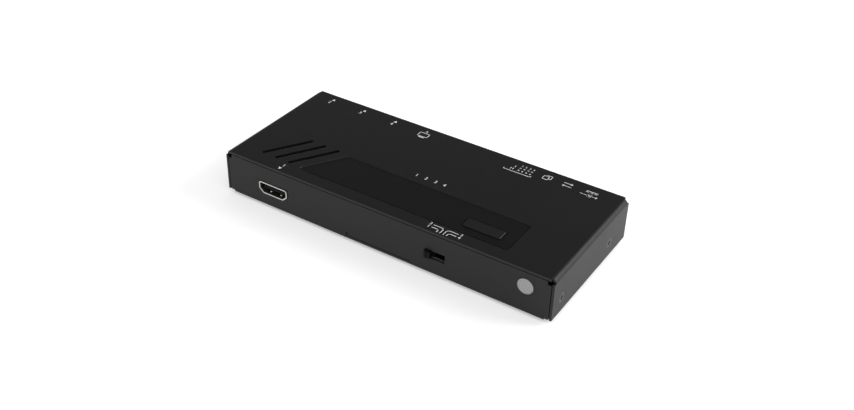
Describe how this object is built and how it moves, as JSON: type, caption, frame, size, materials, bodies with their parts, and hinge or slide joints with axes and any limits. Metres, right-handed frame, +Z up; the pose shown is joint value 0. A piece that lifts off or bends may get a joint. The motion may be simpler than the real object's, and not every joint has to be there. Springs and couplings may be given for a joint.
{
  "type": "hdmi switch",
  "caption": "Flat black sheet-metal video switch box with a recessed select button, slide switch, ringed standby button and sockets front and rear.",
  "frame": {"origin": "on the surface that the feet stand on, below the middle of the housing", "axes": "+X along the length towards the standby button's end, +Y from the front panel to the rear panel, +Z up"},
  "size_m": [0.16, 0.0676, 0.0219],
  "materials": {
    "painted_steel": "fine satin black powder coat",
    "black_screw": "blackened steel",
    "rubber": "matt",
    "panel_film": "fine satin film",
    "black_plastic": "satin moulded",
    "grey_plastic": "frosted light grey",
    "white_plastic": "satin moulded",
    "plated_steel": "bright plated",
    "contact_metal": "gold flash",
    "brass": "turned",
    "board": "solder mask",
    "chip": "moulded",
    "pad": "soft",
    "heat_sink": "dark anodised",
    "can_metal": "drawn",
    "led": "clear lens",
    "clear_plastic": "clear moulded"
  },
  "bodies": {
    "housing": {"top_cover": "painted_steel", "chassis": "painted_steel", "cover_screws": "black_screw", "rubber_feet": "rubber", "panel_overlay": "panel_film", "select_switch_body": "black_plastic", "standby_switch_body": "black_plastic", "standby_board": "board", "standby_led": "led", "mode_switch_body": "black_plastic", "mode_switch_frame": "plated_steel", "mode_switch_contacts": "contact_metal", "dip_switch_body": "black_plastic", "copy_switch_body": "black_plastic", "serial_jack_body": "black_plastic", "serial_jack_collar": "plated_steel", "power_jack_body": "black_plastic", "power_jack_pin": "plated_steel", "power_jack_sleeve": "plated_steel", "circuit_board": "board", "board_standoffs": "brass", "board_screws": "plated_steel", "switch_chip": "chip", "thermal_pad": "pad", "heat_sink": "heat_sink", "control_chip": "chip", "capacitors": "can_metal", "power_inductor": "chip", "crystal": "can_metal", "status_leds": "led", "light_pipe": "clear_plastic", "hdmi_in_1_shell": "plated_steel", "hdmi_in_1_insert": "black_plastic", "hdmi_in_1_contacts": "contact_metal", "hdmi_in_2_shell": "plated_steel", "hdmi_in_2_insert": "black_plastic", "hdmi_in_2_contacts": "contact_metal", "hdmi_in_3_shell": "plated_steel", "hdmi_in_3_insert": "black_plastic", "hdmi_in_3_contacts": "contact_metal", "hdmi_in_4_shell": "plated_steel", "hdmi_in_4_insert": "black_plastic", "hdmi_in_4_contacts": "contact_metal", "hdmi_out_shell": "plated_steel", "hdmi_out_insert": "black_plastic", "hdmi_out_contacts": "contact_metal"},
    "select": {"select_button": "black_plastic", "select_switch_plunger": "black_plastic"},
    "standby": {"standby_button": "grey_plastic", "standby_switch_plunger": "black_plastic"},
    "mode_knob": {"mode_switch_knob": "black_plastic"},
    "copy": {"copy_button": "black_plastic"},
    "dip_1": {"dip_slider_1": "white_plastic"},
    "dip_2": {"dip_slider_2": "white_plastic"},
    "dip_3": {"dip_slider_3": "white_plastic"},
    "dip_4": {"dip_slider_4": "white_plastic"}
  },
  "joints": [
    {"name": "select_press", "type": "slide", "parent": "housing", "child": "select", "axis": [0, 0, -1], "range_m": [0, 0.0006], "stiffness_N_per_m": 1200, "springref_m": -0.0008},
    {"name": "standby_press", "type": "slide", "parent": "housing", "child": "standby", "axis": [0, 1, 0], "range_m": [0, 0.0006], "stiffness_N_per_m": 1200, "springref_m": -0.0008},
    {"name": "copy_press", "type": "slide", "parent": "housing", "child": "copy", "axis": [0, -1, 0], "range_m": [0, 0.0006], "stiffness_N_per_m": 1200, "springref_m": -0.0008},
    {"name": "mode_slide", "type": "slide", "parent": "housing", "child": "mode_knob", "axis": [1, 0, 0], "range_m": [0, 0.0064]},
    {"name": "dip_1_slide", "type": "slide", "parent": "housing", "child": "dip_1", "axis": [0, 0, 1], "range_m": [0, 0.0016]},
    {"name": "dip_2_slide", "type": "slide", "parent": "housing", "child": "dip_2", "axis": [0, 0, 1], "range_m": [0, 0.0016]},
    {"name": "dip_3_slide", "type": "slide", "parent": "housing", "child": "dip_3", "axis": [0, 0, 1], "range_m": [0, 0.0016]},
    {"name": "dip_4_slide", "type": "slide", "parent": "housing", "child": "dip_4", "axis": [0, 0, 1], "range_m": [0, 0.0016]}
  ]
}
